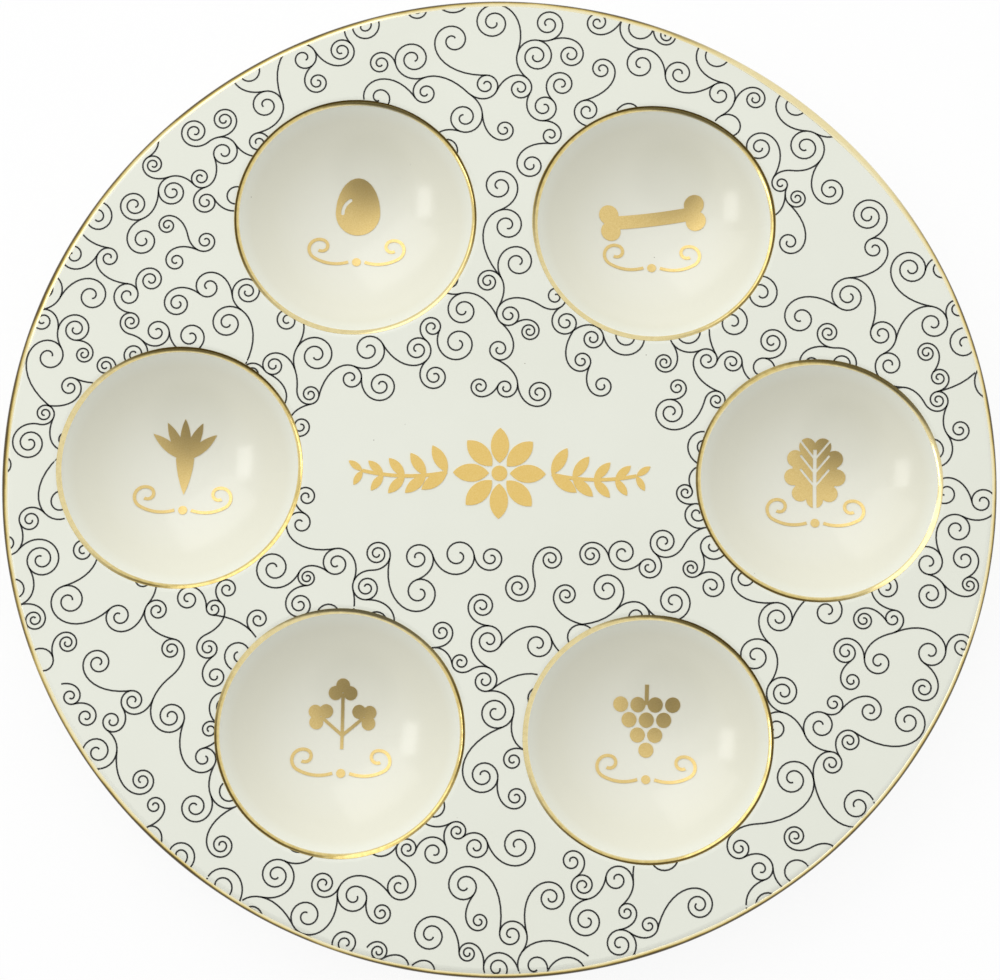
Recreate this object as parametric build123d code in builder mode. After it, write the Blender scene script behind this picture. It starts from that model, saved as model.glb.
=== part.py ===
from build123d import *
import math
import os

os.makedirs("parts", exist_ok=True)

# Wells: six shallow round bowls sunk in the plate.
# The mouth is measured where the rolled shoulder meets the flat top
WELL_MOUTH_DIAMETER = 78.0
WELL_DEPTH = 15.0
WELL_SHOULDER_RADIUS = 4.5
WELL_WALL = 5.0
WELL_BULGE_FILLET = 5.0

# Layout: the corner wells stand a gap apart, the two side wells a little further out
WELL_GAP = 15.0
SIDE_WELL_SHIFT = 5.0
CORNER_WELL_ANGLE = 60.0
RIM_BORDER = 15.5

# Ceramic plate, and the foot ring that each well stands on
PLATE_THICKNESS = 5.5
FOOT_DIAMETER = 36.0
FOOT_WIDTH = 4.0
FOOT_LIFT = 2.0
FOOT_ROOT_FILLET = 1.5
FOOT_TIP_FILLET = 0.8

# Gold films lie this far off the glaze, so that round faces never cut into each other
GOLD_CLEARANCE = 0.02

# Painted gold lines: width along the surface, and the angle from upright
# at which the line lies on its rounded edge
WELL_LINE_WIDTH = 1.5
WELL_LINE_TILT = 26.0
WELL_LINE_THICKNESS = 0.2
RIM_LINE_WIDTH = 3.4
RIM_LINE_TILT = 70.0
RIM_LINE_THICKNESS = 0.3
RIM_LINE_BANDS = 4

# Gold ornaments, fired on as thin transfers
ORNAMENT_THICKNESS = 0.2
EMBLEM_RISE = 5.0

# Flourish: a small pair of curls under the emblem in each well
FLOURISH_DROP = 11.0
FLOURISH_LINE = 1.0
FLOURISH_START = 2.6
FLOURISH_DIP = 20.0
FLOURISH_SWEEP_RADIUS = 13.0
FLOURISH_SWEEP_ANGLE = 48.0
FLOURISH_CURL_RADIUS = 3.4
FLOURISH_CURL_ANGLE = 170.0
FLOURISH_TIP_RADIUS = 1.9
FLOURISH_TIP_ANGLE = 190.0
FLOURISH_BEAD_RADIUS = 1.4

# Egg emblem
EGG_RADIUS = 7.0
EGG_POINT_HEIGHT = 11.0
EGG_SHINE_LINE = 1.1
EGG_SHINE_DEPTH = 2.2
EGG_SHINE_ANGLE = 60.0

# Shank bone emblem
BONE_LENGTH = 27.0
BONE_SHAFT = 4.2
BONE_KNOB_RADIUS = 3.1
BONE_KNOB_DISTANCE = 2.6
BONE_TILT = 8.0

# Bitter herb emblem: a tapered root under a tuft of lance leaves
HERB_LEAVES = 5
HERB_LEAF_LENGTH = 12.5
HERB_LEAF_WIDTH = 3.2
HERB_SPREAD = 104.0
HERB_ROOT_LENGTH = 11.0
HERB_ROOT_WIDTH = 5.6

# Lettuce emblem: a broad leaf with a scalloped edge and a bare rib
LETTUCE_WIDTH = 14.0
LETTUCE_HEIGHT = 17.0
LETTUCE_LOBES = 9
LETTUCE_LOBE_RADIUS = 2.6
LETTUCE_RIB = 1.2
LETTUCE_VEIN = 0.7
LETTUCE_VEIN_ANGLE = 50.0

# Parsley emblem: a stem with three-lobed leaflets
PARSLEY_STEM = 1.0
PARSLEY_STEM_LENGTH = 17.0
PARSLEY_BRANCH_LENGTH = 8.5
PARSLEY_BRANCH_ANGLE = 50.0
PARSLEY_LOBE_RADIUS = 2.1
PARSLEY_LOBE_DISTANCE = 2.3

# Charoset emblem: a bunch of grapes
GRAPE_RADIUS = 2.3
GRAPE_GAP = 0.7
GRAPE_ROWS = 4
GRAPE_STALK = 1.2
GRAPE_STALK_LENGTH = 6.0

# Centre ornament: a rosette between two leafy sprays
ROSETTE_PETALS = 8
ROSETTE_PETAL_LENGTH = 11.0
ROSETTE_PETAL_WIDTH = 5.6
ROSETTE_EYE_RADIUS = 2.4
ROSETTE_EYE_GAP = 0.8
SPRAY_STEM = 1.1
SPRAY_START = 16.0
SPRAY_RADIUS = 60.0
SPRAY_SWEEP = 25.0
SPRAY_LEAF_PAIRS = 5
SPRAY_LEAF_LENGTH = 9.5
SPRAY_LEAF_WIDTH = 3.8
SPRAY_LEAF_ANGLE = 48.0
SPRAY_LEAF_TAPER = 0.55

# Sizes that follow from the driving dimensions
well_mouth_radius = WELL_MOUTH_DIAMETER / 2
bowl_radius = (well_mouth_radius**2 / WELL_DEPTH + WELL_DEPTH) / 2 - WELL_SHOULDER_RADIUS
bowl_centre_height = bowl_radius - WELL_DEPTH
bowl_slope = math.degrees(math.asin(well_mouth_radius / (bowl_radius + WELL_SHOULDER_RADIUS)))
skin_radius = bowl_radius - GOLD_CLEARANCE
bulge_radius = bowl_radius + WELL_WALL
bulge_rise = bowl_centre_height + PLATE_THICKNESS + WELL_BULGE_FILLET
bulge_slope = math.degrees(math.acos(bulge_rise / (bulge_radius + WELL_BULGE_FILLET)))
bulge_reach = (bulge_radius + WELL_BULGE_FILLET) * math.sin(math.radians(bulge_slope))

corner_well_pitch = WELL_MOUTH_DIAMETER + WELL_GAP
side_well_pitch = corner_well_pitch + SIDE_WELL_SHIFT
plate_radius = side_well_pitch + well_mouth_radius + RIM_BORDER
edge_radius = PLATE_THICKNESS / 2
rim_line_radius = edge_radius + GOLD_CLEARANCE
well_line_radius = WELL_SHOULDER_RADIUS + GOLD_CLEARANCE
foot_mid_radius = (FOOT_DIAMETER - FOOT_WIDTH) / 2
top_height = FOOT_LIFT + WELL_WALL + WELL_DEPTH
underside_height = top_height - PLATE_THICKNESS

edge_centre = Vector(plate_radius - edge_radius, top_height - edge_radius)
band_angle = RIM_LINE_WIDTH / rim_line_radius / RIM_LINE_BANDS
band_angles = [
    math.radians(90 - RIM_LINE_TILT) + (number - RIM_LINE_BANDS / 2) * band_angle
    for number in range(RIM_LINE_BANDS + 1)
]

WELLS = {
    "lettuce": (side_well_pitch, 0.0),
    "shank_bone": (corner_well_pitch, CORNER_WELL_ANGLE),
    "egg": (corner_well_pitch, 180.0 - CORNER_WELL_ANGLE),
    "bitter_herb": (side_well_pitch, 180.0),
    "parsley": (corner_well_pitch, 180.0 + CORNER_WELL_ANGLE),
    "charoset": (corner_well_pitch, -CORNER_WELL_ANGLE),
}
well_places = {
    name: Vector(pitch, 0, top_height).rotate(Axis.Z, angle) for name, (pitch, angle) in WELLS.items()
}


def section_plane(place):
    """Upright plane through a well's axis, its origin at the middle of the well's mouth."""
    return Plane(origin=place, x_dir=(1, 0, 0), z_dir=(0, -1, 0))


def band_corners(radius):
    """Corners of the rim line's bands, whose flats touch a circle of this radius in the plate's edge."""
    corner_radius = radius / math.cos(band_angle / 2)
    return [edge_centre + Vector(math.cos(turn), math.sin(turn)) * corner_radius for turn in band_angles]


def leaf(length, width):
    """Pointed leaf along +X, its stalk at the origin."""
    with BuildSketch(mode=Mode.PRIVATE) as shape:
        with BuildLine():
            blade = ThreePointArc((0, 0), (length / 2, width / 2), (length, 0))
            mirror(blade, about=Plane.XZ)
        make_face()
    return shape.sketch


def flourish():
    """A bead between two mirrored curls, each a line of three arcs that tighten."""
    with BuildSketch(mode=Mode.PRIVATE) as shape:
        with BuildLine() as curl:
            start = Vector(1, 0, 0).rotate(Axis.Z, -FLOURISH_DIP)
            sweep_arc = JernArc((FLOURISH_START, 0), start, FLOURISH_SWEEP_RADIUS, FLOURISH_SWEEP_ANGLE)
            curl_arc = JernArc(sweep_arc @ 1, sweep_arc % 1, FLOURISH_CURL_RADIUS, FLOURISH_CURL_ANGLE)
            JernArc(curl_arc @ 1, curl_arc % 1, FLOURISH_TIP_RADIUS, FLOURISH_TIP_ANGLE)
        trace(curl.line, line_width=FLOURISH_LINE)
        mirror(about=Plane.YZ)
        Circle(FLOURISH_BEAD_RADIUS)
    return shape.sketch


def egg_emblem():
    """A solid egg with a bare crescent of shine."""
    with BuildSketch(mode=Mode.PRIVATE) as shape:
        with BuildLine():
            CenterArc((0, 0), EGG_RADIUS, 180, 180)
            EllipticalCenterArc((0, 0), EGG_RADIUS, EGG_POINT_HEIGHT, arc_size=180)
        make_face()
        with BuildLine(mode=Mode.PRIVATE) as shine:
            CenterArc((0, 0), EGG_RADIUS - EGG_SHINE_DEPTH, 180 - EGG_SHINE_ANGLE, EGG_SHINE_ANGLE)
        SlotArc(shine.edges()[0], EGG_SHINE_LINE, mode=Mode.SUBTRACT)
    return shape.sketch


def shank_bone_emblem():
    """A long bone with two knobs at each end."""
    with BuildSketch(mode=Mode.PRIVATE) as shape:
        Rectangle(BONE_LENGTH, BONE_SHAFT, rotation=BONE_TILT)
        with Locations(Location((0, 0, 0), (0, 0, BONE_TILT))):
            with GridLocations(BONE_LENGTH, 2 * BONE_KNOB_DISTANCE, 2, 2):
                Circle(BONE_KNOB_RADIUS)
    return shape.sketch


def bitter_herb_emblem():
    """A root that tapers downwards, with a tuft of lance leaves on its crown."""
    blade = leaf(HERB_LEAF_LENGTH, HERB_LEAF_WIDTH)
    step = HERB_SPREAD / (HERB_LEAVES - 1)
    with BuildSketch(mode=Mode.PRIVATE) as shape:
        with BuildLine():
            crown = CenterArc((0, 0), HERB_ROOT_WIDTH / 2, 0, 180)
            ThreePointArc(crown @ 0, (HERB_ROOT_WIDTH / 3, -HERB_ROOT_LENGTH / 2), (0, -HERB_ROOT_LENGTH))
            ThreePointArc((0, -HERB_ROOT_LENGTH), (-HERB_ROOT_WIDTH / 3, -HERB_ROOT_LENGTH / 2), crown @ 1)
        make_face()
        for number in range(HERB_LEAVES):
            with Locations(Location((0, 0, 0), (0, 0, 90 - HERB_SPREAD / 2 + number * step))):
                add(blade)
    return shape.sketch


def lettuce_emblem():
    """A broad leaf with a scalloped edge, a bare rib and bare side veins."""
    with BuildSketch(mode=Mode.PRIVATE) as shape:
        Ellipse(LETTUCE_WIDTH / 2, LETTUCE_HEIGHT / 2)
        for number in range(LETTUCE_LOBES):
            around = math.radians(number * 360 / LETTUCE_LOBES - 90)
            with Locations((LETTUCE_WIDTH / 2 * math.cos(around), LETTUCE_HEIGHT / 2 * math.sin(around))):
                Circle(LETTUCE_LOBE_RADIUS)
        with Locations((0, -LETTUCE_LOBE_RADIUS)):
            Rectangle(LETTUCE_RIB, LETTUCE_HEIGHT + LETTUCE_LOBE_RADIUS, mode=Mode.SUBTRACT)
        for height in (-LETTUCE_HEIGHT / 4, 0, LETTUCE_HEIGHT / 4):
            for lean in (LETTUCE_VEIN_ANGLE, 180 - LETTUCE_VEIN_ANGLE):
                with Locations(Location((0, height, 0), (0, 0, lean))):
                    Rectangle(
                        LETTUCE_WIDTH / 2,
                        LETTUCE_VEIN,
                        align=(Align.MIN, Align.CENTER),
                        mode=Mode.SUBTRACT,
                    )
    return shape.sketch


def parsley_emblem():
    """A stem with two branches, a three-lobed leaflet at each tip."""
    with BuildSketch(mode=Mode.PRIVATE) as shape:
        for lean, foot, reach in (
            (90, -PARSLEY_STEM_LENGTH / 2, PARSLEY_STEM_LENGTH),
            (90 - PARSLEY_BRANCH_ANGLE, -PARSLEY_STEM_LENGTH / 4, PARSLEY_BRANCH_LENGTH),
            (90 + PARSLEY_BRANCH_ANGLE, -PARSLEY_STEM_LENGTH / 4, PARSLEY_BRANCH_LENGTH),
        ):
            with Locations(Location((0, foot, 0), (0, 0, lean))):
                Rectangle(reach, PARSLEY_STEM, align=(Align.MIN, Align.CENTER))
                with Locations((reach, 0)):
                    for turn in (-90, 0, 90):
                        with PolarLocations(PARSLEY_LOBE_DISTANCE, 1, start_angle=turn):
                            Circle(PARSLEY_LOBE_RADIUS)
    return shape.sketch


def charoset_emblem():
    """A bunch of grapes in shrinking rows, under a short stalk."""
    with BuildSketch(mode=Mode.PRIVATE) as shape:
        pitch = 2 * GRAPE_RADIUS + GRAPE_GAP
        row_step = pitch * math.sin(math.radians(60))
        top_row = row_step * (GRAPE_ROWS - 1) / 2
        for row in range(GRAPE_ROWS):
            with Locations((0, top_row - row * row_step)):
                with GridLocations(pitch, pitch, GRAPE_ROWS - row, 1):
                    Circle(GRAPE_RADIUS)
        with Locations((0, top_row)):
            Rectangle(GRAPE_STALK, GRAPE_STALK_LENGTH, align=(Align.CENTER, Align.MIN))
    return shape.sketch


def centre_ornament():
    """An eight-petalled rosette between two sprays of paired leaves."""
    petal = leaf(ROSETTE_PETAL_LENGTH, ROSETTE_PETAL_WIDTH)
    with BuildSketch(mode=Mode.PRIVATE) as spray:
        rise = Vector(1, 0, 0).rotate(Axis.Z, -SPRAY_SWEEP / 2)
        with BuildLine() as stem:
            JernArc((SPRAY_START, 0), rise, SPRAY_RADIUS, SPRAY_SWEEP)
        trace(stem.line, line_width=SPRAY_STEM)
        for number in range(SPRAY_LEAF_PAIRS):
            along = number / (SPRAY_LEAF_PAIRS - 1)
            size = 1 - (1 - SPRAY_LEAF_TAPER) * along
            point = stem.line @ along
            heading = Vector(1, 0, 0).get_signed_angle(stem.line % along)
            blade = leaf(SPRAY_LEAF_LENGTH * size, SPRAY_LEAF_WIDTH * size)
            for lean in (-SPRAY_LEAF_ANGLE, SPRAY_LEAF_ANGLE):
                with Locations(Location(point, (0, 0, heading + lean))):
                    add(blade)
    with BuildSketch(mode=Mode.PRIVATE) as shape:
        with PolarLocations(ROSETTE_EYE_RADIUS + ROSETTE_EYE_GAP, ROSETTE_PETALS):
            add(petal)
        Circle(ROSETTE_EYE_RADIUS)
        add(spray.sketch)
        mirror(spray.sketch, about=Plane.YZ)
    return shape.sketch


# Hollow of one well, with its mouth in the XY plane: a bowl, then a shoulder that rolls out to the flat top
with BuildPart() as well_hollow:
    with BuildSketch(Plane.XZ):
        with BuildLine():
            bowl = JernArc((0, -WELL_DEPTH), (1, 0), bowl_radius, bowl_slope)
            shoulder = JernArc(bowl @ 1, bowl % 1, WELL_SHOULDER_RADIUS, -bowl_slope)
            Polyline(shoulder @ 1, (well_mouth_radius, WELL_DEPTH), (0, WELL_DEPTH), (0, -WELL_DEPTH))
        make_face()
    revolve(axis=Axis.Z)

# Bulge under one well: an outer bowl one wall away, with a fillet that runs out into the plate's underside,
# and a low foot ring on its lowest part
with BuildPart() as well_bulge:
    with BuildSketch(Plane.XZ) as bulge_section:
        with BuildLine():
            belly = JernArc((0, -WELL_DEPTH - WELL_WALL), (1, 0), bulge_radius, bulge_slope)
            root = JernArc(belly @ 1, belly % 1, WELL_BULGE_FILLET, -bulge_slope)
            Polyline(root @ 1, (bulge_reach, -edge_radius), (0, -edge_radius), belly @ 0)
        make_face()
        with Locations((foot_mid_radius, -top_height)):
            Rectangle(FOOT_WIDTH, top_height - edge_radius, align=(Align.CENTER, Align.MIN))
        rising = bulge_section.vertices().sort_by(Axis.Y)
        fillet(rising[0:2], radius=FOOT_TIP_FILLET)
        fillet(rising[3:5], radius=FOOT_ROOT_FILLET)
    revolve(axis=Axis.Z)

# Skin of one bowl, as thick as a gold transfer
with BuildPart() as bowl_skin:
    with BuildSketch(Plane.XZ):
        with BuildLine():
            under = CenterArc((0, bowl_centre_height), skin_radius, -90, bowl_slope)
            over = CenterArc((0, bowl_centre_height), skin_radius - ORNAMENT_THICKNESS, -90, bowl_slope)
            Line(under @ 0, over @ 0)
            Line(under @ 1, over @ 1)
        make_face()
    revolve(axis=Axis.Z)

# Plate body: one ceramic casting, a disc with a round edge, with the six wells sunk in it and bulging beneath
with BuildPart() as plate_body:
    with BuildSketch(Plane.XZ):
        with BuildLine():
            top = Line((0, top_height), (plate_radius - edge_radius, top_height))
            edge = JernArc(top @ 1, (1, 0), edge_radius, -180)
            Polyline(edge @ 1, (0, underside_height), top @ 0)
        make_face()
    revolve(axis=Axis.Z)
    with Locations(*well_places.values()):
        add(well_bulge.part)
        add(well_hollow.part, mode=Mode.SUBTRACT)
plate_body.part.label = "plate_body"
export_step(plate_body.part, "parts/plate_body.step")

# Rim gold line: narrow cone-shaped bands side by side, each laid against the rounded edge of the plate
with BuildPart() as rim_gold_line:
    with BuildSketch(Plane.XZ):
        with BuildLine():
            under_side = band_corners(rim_line_radius)
            over_side = band_corners(rim_line_radius + RIM_LINE_THICKNESS)
            Polyline(*under_side, *reversed(over_side), close=True)
        make_face()
    revolve(axis=Axis.Z)
rim_gold_line.part.label = "rim_gold_line"
export_step(rim_gold_line.part, "parts/rim_gold_line.step")

# Well gold lines, on the rolled shoulder of each well
for name, place in well_places.items():
    with BuildPart() as well_gold_line:
        with BuildSketch(section_plane(place)):
            with BuildLine():
                shoulder_centre = (well_mouth_radius, -WELL_SHOULDER_RADIUS)
                spread = math.degrees(WELL_LINE_WIDTH / well_line_radius)
                first = 90 + WELL_LINE_TILT - spread / 2
                under = CenterArc(shoulder_centre, well_line_radius, first, spread)
                over = CenterArc(shoulder_centre, well_line_radius + WELL_LINE_THICKNESS, first, spread)
                Line(under @ 0, over @ 0)
                Line(under @ 1, over @ 1)
            make_face()
        revolve(axis=Axis(place, (0, 0, 1)))
    well_gold_line.part.label = f"{name}_well_gold_line"
    export_step(well_gold_line.part, f"parts/{name}_well_gold_line.step")

# Well ornaments: each well's emblem over a flourish, as thin as a transfer and curved to the bowl
emblems = {
    "lettuce": lettuce_emblem(),
    "shank_bone": shank_bone_emblem(),
    "egg": egg_emblem(),
    "bitter_herb": bitter_herb_emblem(),
    "parsley": parsley_emblem(),
    "charoset": charoset_emblem(),
}
underline = flourish()
for name, place in well_places.items():
    with BuildPart() as well_ornament:
        with BuildSketch(Plane(origin=place - Vector(0, 0, WELL_DEPTH))):
            with Locations((0, EMBLEM_RISE)):
                add(emblems[name])
            with Locations((0, -FLOURISH_DROP)):
                add(underline)
        extrude(amount=WELL_DEPTH)
        with Locations(place):
            add(bowl_skin.part, mode=Mode.INTERSECT)
    well_ornament.part.label = f"{name}_well_ornament"
    export_step(well_ornament.part, f"parts/{name}_well_ornament.step")

# Centre ornament, flat on the ground between the wells
rosette_and_sprays = centre_ornament()
with BuildPart() as centre_gold_ornament:
    with BuildSketch(Plane.XY.offset(top_height)):
        add(rosette_and_sprays)
    extrude(amount=ORNAMENT_THICKNESS)
centre_gold_ornament.part.label = "centre_gold_ornament"
export_step(centre_gold_ornament.part, "parts/centre_gold_ornament.step")

print(f"plate {2 * plate_radius:.1f} mm across, {top_height:.1f} mm high, bowl radius {bowl_radius:.1f} mm")
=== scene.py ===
# %% [markdown]
# # A ceramic seder plate
# The plate is one ivory-glazed casting with six shallow wells. Its CAD solids give the true shapes: the
# casting, the gold ornaments, and the gold lines on the rim and round the wells. This lesson gives them
# their looks: a glaze, hand-painted gold lines, a fired-on print of curling vines, soft light and a
# camera. Everything is in metres, in the frame of the solids: the plate stands on z = 0 with its wells
# upwards.

import math
import random

import bpy
import numpy as np
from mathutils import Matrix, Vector, noise


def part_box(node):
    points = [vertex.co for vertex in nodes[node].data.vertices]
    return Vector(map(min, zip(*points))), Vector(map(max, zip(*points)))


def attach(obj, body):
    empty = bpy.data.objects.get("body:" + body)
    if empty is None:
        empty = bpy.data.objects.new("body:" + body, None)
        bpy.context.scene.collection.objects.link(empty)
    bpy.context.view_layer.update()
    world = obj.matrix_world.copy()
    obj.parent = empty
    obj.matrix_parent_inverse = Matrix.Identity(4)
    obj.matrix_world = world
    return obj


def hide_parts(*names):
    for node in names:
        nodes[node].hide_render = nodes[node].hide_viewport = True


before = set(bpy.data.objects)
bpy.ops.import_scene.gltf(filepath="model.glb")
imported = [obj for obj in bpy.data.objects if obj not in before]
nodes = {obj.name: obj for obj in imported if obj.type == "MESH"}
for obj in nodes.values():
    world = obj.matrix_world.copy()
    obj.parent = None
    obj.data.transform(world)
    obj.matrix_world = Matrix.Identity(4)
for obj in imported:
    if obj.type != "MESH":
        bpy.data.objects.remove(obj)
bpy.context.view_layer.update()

# %% [markdown]
# ## Sizes to work with
# The box of the casting says how high the plate's top lies, and the middle of each well's gold line is
# the middle of that well. A box gives the size of a round mesh only roughly, because its sides are short
# straight steps. So the radii of the plate, of its rounded edge and of the wells' rolled shoulders are
# written down here, as they were drawn.

# %% Sizes of the plate
MM = 0.001
PLATE_RADIUS = 152.5 * MM
EDGE_RADIUS = 2.75 * MM
MOUTH_RADIUS = 39 * MM
SHOULDER_RADIUS = 4.5 * MM
WELL_NAMES = ("lettuce", "shank_bone", "egg", "bitter_herb", "parsley", "charoset")

top_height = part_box("plate_body")[1].z
print("the top is at", round(top_height, 4))
well_places = {}
for name in WELL_NAMES:
    low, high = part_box(f"{name}_well_gold_line")
    well_places[name] = (low + high) / 2
    print(name, "well at", round(well_places[name].x, 4), round(well_places[name].y, 4))

# %% [markdown]
# ## Building materials from nodes
# Every finish is a small network of nodes around one Principled shader. It could be wired up in the node
# editor. In a script each node would take several lines, so one helper adds a node and sets its inputs by
# name, or links them where another node's socket is given. That reads like the node editor does.

# %% Helpers for nodes
def connect(tree, socket, value):
    """An input linked where the value is another node's socket, and set to the value otherwise."""
    if isinstance(value, bpy.types.NodeSocket):
        tree.links.new(value, socket)
    else:
        socket.default_value = value


def add_node(tree, kind, label, settings=None, **inputs):
    """A node of this kind, with its settings and its inputs. An input's name has _ in place of a blank."""
    node = tree.nodes.new(kind)
    node.label = label
    for key, value in (settings or {}).items():
        setattr(node, key, value)
    for key, value in inputs.items():
        connect(tree, node.inputs[key.replace("_", " ")], value)
    return node


def combine(tree, label, operation, first, second=0.0):
    """The result of one sum with two values, each a socket or a number."""
    node = add_node(tree, "ShaderNodeMath", label, {"operation": operation})
    connect(tree, node.inputs[0], first)
    connect(tree, node.inputs[1], second)
    return node.outputs["Value"]


# %% [markdown]
# ## Grain shared by the finishes
# Fired gold is never quite even: it has a fine grain from the screen or the brush. The glaze mottles in
# far larger and fainter clouds, and the ink lies thick and thin. All of these are one effect at different
# sizes. An image would blur at one size and repeat at another. So the effect is noise in a node group
# that is built once. Its inputs are the size and the contrast of the grain, and its output is a mask that
# swings round its middle value.

# %% The grain group
CLOUD_DETAIL = 3.0
CLOUD_ROUGHNESS = 0.6
MASK_MIDDLE = 0.5

grain_group = bpy.data.node_groups.new("fired_grain", "ShaderNodeTree")
for label, way in (("Size", "INPUT"), ("Contrast", "INPUT"), ("Mask", "OUTPUT")):
    grain_group.interface.new_socket(label, in_out=way, socket_type="NodeSocketFloat")
group_in = grain_group.nodes.new("NodeGroupInput")
group_out = grain_group.nodes.new("NodeGroupOutput")
place = add_node(grain_group, "ShaderNodeTexCoord", "place on the plate")
cloud = add_node(grain_group, "ShaderNodeTexNoise", "cloud", Vector=place.outputs["Object"],
                 Scale=group_in.outputs["Size"], Detail=CLOUD_DETAIL, Roughness=CLOUD_ROUGHNESS)
swing = combine(grain_group, "up and down", "SUBTRACT", cloud.outputs["Fac"], MASK_MIDDLE)
spread = combine(grain_group, "spread", "MULTIPLY", swing, group_in.outputs["Contrast"])
mask = combine(grain_group, "round the middle", "ADD", spread, MASK_MIDDLE)
grain_group.links.new(mask, group_out.inputs["Mask"])
print("grain group with", len(grain_group.nodes), "nodes")


def add_grain(tree, label, size, contrast):
    """The grain group in a material, as the socket of its mask."""
    node = tree.nodes.new("ShaderNodeGroup")
    node.node_tree = grain_group
    node.label = label
    node.inputs["Size"].default_value = size
    node.inputs["Contrast"].default_value = contrast
    return node.outputs["Mask"]


# %% [markdown]
# ## Colours and masks
# Colours are written down here as a paint chart gives them, while a shader counts in linear light, so one
# helper changes the one into the other. Two more make what every finish here is built from: a ramp that
# turns a measure, such as the height, into a mask or a gloss, and a blend of two colours by a mask.

# %% Helpers for finishes
MID_GREY = 128


def srgb(red, green, blue):
    """A colour as a paint chart gives it, 0 to 255, made linear for the shader."""
    linear = []
    for value in (red / 255, green / 255, blue / 255):
        linear.append(value / 12.92 if value <= 0.04045 else ((value + 0.055) / 1.055) ** 2.4)
    return (*linear, 1.0)


def ramp(tree, label, value, ends=(0.0, 1.0), levels=(0.0, 1.0), kind="LINEAR"):
    """A level that goes from one to another while a value passes from one end to the other."""
    node = add_node(tree, "ShaderNodeMapRange", label, {"interpolation_type": kind}, Value=value,
                    From_Min=ends[0], From_Max=ends[1], To_Min=levels[0], To_Max=levels[1])
    return node.outputs["Result"]


def blend(tree, label, share, first, second):
    """The first colour, which turns into the second where the share is 1."""
    node = add_node(tree, "ShaderNodeMix", label, {"data_type": "RGBA"}, Factor=share, A=first, B=second)
    return node.outputs["Result"]


def new_finish(name):
    """An empty material, its node tree and its Principled shader."""
    material = bpy.data.materials.new(name)
    material.use_nodes = True
    tree = material.node_tree
    return material, tree, tree.nodes["Principled BSDF"]


def dress(piece, finish):
    """The piece with this finish and no other."""
    piece.data.materials.clear()
    piece.data.materials.append(finish)


print("a chart's mid grey is", round(srgb(MID_GREY, MID_GREY, MID_GREY)[0], 3), "of white in linear light")

# %% [markdown]
# ## The glaze
# The casting is covered with a warm ivory gloss glaze. Real glaze is a little uneven: it mottles faintly.
# Down the walls of the wells the colour turns darker and warmer, and on their floors a little less so:
# this is painted shade and warm bounced light. The tints could be painted on by hand, but masks by height
# find the walls and floors of all six wells at once. The underside lies as low as they do, and shares this
# painted shade.

# %% Colour of the glaze
GLAZE = srgb(232, 234, 222)
GLAZE_MOTTLED = srgb(228, 230, 217)
WALL_SHADE_TINT = srgb(225, 224, 207)
FLOOR_SHADE_TINT = srgb(230, 230, 217)
MOTTLE_SIZE = 22.0
MOTTLE_CONTRAST = 1.6
WALL_BEGINS = top_height - 0.4 * MM
WALL_TINTED = top_height - 4 * MM
FLOOR_BEGINS = top_height - 8 * MM
FLOOR_TINTED = top_height - 15 * MM

glaze, tree, shader = new_finish("ivory_glaze")
place = add_node(tree, "ShaderNodeTexCoord", "place on the plate").outputs["Object"]
height = add_node(tree, "ShaderNodeSeparateXYZ", "height", Vector=place).outputs["Z"]
mottle = add_grain(tree, "mottling", MOTTLE_SIZE, MOTTLE_CONTRAST)
# Darker, warmer colour down the walls and a little less on the floors is painted shade and warm bounced
# light.
wall_shade = ramp(tree, "on the walls of the wells", height, (WALL_BEGINS, WALL_TINTED))
floor_shade = ramp(tree, "on the floors of the wells", height, (FLOOR_BEGINS, FLOOR_TINTED))
tint = blend(tree, "mottled glaze", mottle, GLAZE, GLAZE_MOTTLED)
tint = blend(tree, "painted shade on the walls", wall_shade, tint, WALL_SHADE_TINT)
tint = blend(tree, "lighter painted shade on the floors", floor_shade, tint, FLOOR_SHADE_TINT)
print("the walls' tint begins at", round(WALL_BEGINS, 4), "and the floors' at", round(FLOOR_BEGINS, 4))

# %% [markdown]
# A few dark specks of iron come through the glaze. The foot rings are wiped bare before firing, so that
# they don't stick to the kiln shelf, and their tips show pale dull clay. Small dots could be modelled one
# by one, but a cell pattern that is kept only close to the cells' middles scatters them over the whole
# casting.

# %% Specks and bare feet
SPECK = srgb(120, 112, 96)
SPECK_CELLS = 95.0
SPECK_CORE = 0.012
SPECK_EDGE = 0.022
SPECK_STRENGTH = 0.7
BARE_CLAY = srgb(222, 209, 184)
BARE_BELOW = 0.99 * MM
GLAZED_ABOVE = 1.1 * MM
GLAZE_ROUGHNESS = 0.15
CLAY_ROUGHNESS = 0.8

cells = add_node(tree, "ShaderNodeTexVoronoi", "iron specks", Vector=place, Scale=SPECK_CELLS)
specks = ramp(tree, "close to the middles", cells.outputs["Distance"], (SPECK_CORE, SPECK_EDGE),
              levels=(SPECK_STRENGTH, 0.0))
bare = ramp(tree, "foot tips are bare", height, (BARE_BELOW, GLAZED_ABOVE), levels=(1.0, 0.0))
tint = blend(tree, "specks in the glaze", specks, tint, SPECK)
tint = blend(tree, "glaze or clay", bare, tint, BARE_CLAY)
tree.links.new(tint, shader.inputs["Base Color"])
gloss = ramp(tree, "gloss of glaze, dull clay", bare, levels=(GLAZE_ROUGHNESS, CLAY_ROUGHNESS))
tree.links.new(gloss, shader.inputs["Roughness"])
print("colour and gloss of the glaze with", len(tree.nodes), "nodes")

# %% [markdown]
# The surface of a glaze has a slow waviness that softens what it mirrors. It is only a fraction of a
# millimetre high, which a mesh would need far too many faces to show, so a Bump node gives it.

# %% Surface of the glaze
WAVE_SIZE = 55.0
WAVE_CONTRAST = 1.0
WAVE_STRENGTH = 0.12
WAVE_HEIGHT = 0.1 * MM

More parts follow.
